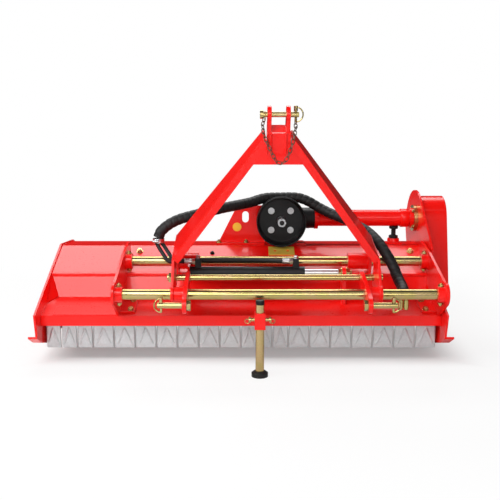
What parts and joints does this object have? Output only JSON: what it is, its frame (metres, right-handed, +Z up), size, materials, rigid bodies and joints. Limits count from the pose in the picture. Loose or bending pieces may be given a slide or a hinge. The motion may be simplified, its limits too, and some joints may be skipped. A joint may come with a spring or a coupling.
{
  "type": "flail mower",
  "caption": "Red three-point flail mower with a sliding A-frame hitch, gearbox and belt drive, hinged front flaps, flail rotor, rear roller and parking jack.",
  "frame": {"origin": "middle of the base of the whole machine, on the ground", "axes": "+X along the working width to the belt-drive side, +Y to the rear away from the tractor, +Z up"},
  "size_m": [1.699, 0.9399, 0.9941],
  "materials": {
    "red_paint": "glossy red paint",
    "gold_plating": "yellow zinc plating",
    "black_iron": "satin black paint",
    "black_plastic": "satin black plastic",
    "black_rubber": "matt black rubber",
    "plain_steel": "plain steel",
    "galvanised": "galvanised",
    "rusty_steel": "dark, slightly rusty"
  },
  "bodies": {
    "deck": {"deck_shell": "red_paint", "left_side_plate": "red_paint", "right_side_plate": "red_paint", "skids": "red_paint", "flap_rod_bar": "plain_steel", "left_tube_bracket": "red_paint", "right_tube_bracket": "red_paint", "lower_slide_tube": "gold_plating", "upper_slide_tube": "gold_plating", "bracket_bolts": "gold_plating", "gearbox_housing": "black_iron", "gearbox_support": "red_paint", "gearbox_saddle": "red_paint", "plated_bracket": "gold_plating", "pto_guard": "black_plastic", "guard_bolts": "plain_steel", "drive_tube": "red_paint", "drive_flange": "gold_plating", "belt_guard": "red_paint", "drive_belts": "black_rubber", "tube_prop": "red_paint", "bearing_housings": "black_iron", "roller_arms": "red_paint", "jack_bracket": "red_paint", "jack_plungers": "gold_plating", "cylinder_rod": "plain_steel", "rod_lug": "red_paint", "hose_sleeve": "black_rubber", "hose_couplers": "gold_plating", "hose_posts": "red_paint"},
    "hitch": {"left_hitch_plate": "red_paint", "right_hitch_plate": "red_paint", "mast_head": "red_paint", "slide_bushes": "red_paint", "lower_lugs": "red_paint", "tie_rod": "gold_plating", "lower_hitch_pins": "gold_plating", "top_link_pin": "gold_plating", "top_linch_pin": "gold_plating", "pin_chain": "rusty_steel", "cylinder_barrel": "black_iron", "hose_tails": "black_rubber"},
    "pto": {"pto_shaft": "plain_steel", "input_bevel_gear": "plain_steel"},
    "cross": {"cross_shaft": "plain_steel", "upper_pulley": "plain_steel"},
    "rotor": {"rotor_tube": "red_paint", "flail_pins": "plain_steel", "lower_pulley": "plain_steel"},
    "jack": {"jack_leg": "gold_plating", "jack_foot": "black_rubber"},
    "roller": {"rear_roller": "black_iron"},
    "left_linch": {"left_linch_pin": "gold_plating"},
    "right_linch": {"right_linch_pin": "gold_plating"},
    "left_flaps": {"flaps_left": "galvanised"},
    "right_flaps": {"flaps_right": "galvanised"},
    "flails_1": {"flails_row_1": "plain_steel"},
    "flails_2": {"flails_row_2": "plain_steel"},
    "flails_3": {"flails_row_3": "plain_steel"},
    "flails_4": {"flails_row_4": "plain_steel"}
  },
  "joints": [
    {"name": "side_shift", "type": "slide", "parent": "deck", "child": "hitch", "axis": [1, 0, 0], "range_m": [-0.14, 0.03], "deforming": ["hose_sleeve", "hose_tails"]},
    {"name": "jack_slide", "type": "slide", "parent": "deck", "child": "jack", "axis": [0, 0, 1], "range_m": [0, 0.13]},
    {"name": "rotor_spin", "type": "hinge", "parent": "deck", "child": "rotor", "pos_m": [-0.0385, 0.12999, 0.225], "axis": [1, 0, 0], "continuous": true},
    {"name": "cross_shaft_spin", "type": "hinge", "parent": "deck", "child": "cross", "pos_m": [0.3615, 0.20499, 0.517], "axis": [1, 0, 0], "continuous": true},
    {"name": "pto_spin", "type": "hinge", "parent": "deck", "child": "pto", "pos_m": [0.1345, 0.10999, 0.517], "axis": [0, 1, 0], "continuous": true},
    {"name": "roller_spin", "type": "hinge", "parent": "deck", "child": "roller", "pos_m": [-0.0385, 0.39999, 0.07], "axis": [1, 0, 0], "continuous": true},
    {"name": "flail_swing_1", "type": "hinge", "parent": "rotor", "child": "flails_1", "pos_m": [-0.0385, 0.06988, 0.2851], "axis": [1, 0, 0], "range_deg": [-80, 80]},
    {"name": "flail_swing_2", "type": "hinge", "parent": "rotor", "child": "flails_2", "pos_m": [-0.0385, 0.06988, 0.1649], "axis": [1, 0, 0], "range_deg": [-80, 80]},
    {"name": "flail_swing_3", "type": "hinge", "parent": "rotor", "child": "flails_3", "pos_m": [-0.0385, 0.19009, 0.1649], "axis": [1, 0, 0], "range_deg": [-80, 80]},
    {"name": "flail_swing_4", "type": "hinge", "parent": "rotor", "child": "flails_4", "pos_m": [-0.0385, 0.19009, 0.2851], "axis": [1, 0, 0], "range_deg": [-80, 80]},
    {"name": "left_flap_swing", "type": "hinge", "parent": "deck", "child": "left_flaps", "pos_m": [-0.0385, -0.24001, 0.172], "axis": [1, 0, 0], "range_deg": [-40, 75]},
    {"name": "left_linch_pull", "type": "slide", "parent": "hitch", "child": "left_linch", "axis": [0, 0, 1], "range_m": [0, 0.06]},
    {"name": "right_flap_swing", "type": "hinge", "parent": "deck", "child": "right_flaps", "pos_m": [-0.0385, -0.24001, 0.172], "axis": [1, 0, 0], "range_deg": [-40, 75]},
    {"name": "right_linch_pull", "type": "slide", "parent": "hitch", "child": "right_linch", "axis": [0, 0, 1], "range_m": [0, 0.06]}
  ],
  "couplings": [
    {"joint": "cross_shaft_spin", "follows": "rotor_spin", "ratio": 0.8},
    {"joint": "pto_spin", "follows": "rotor_spin", "ratio": 0.26667}
  ]
}
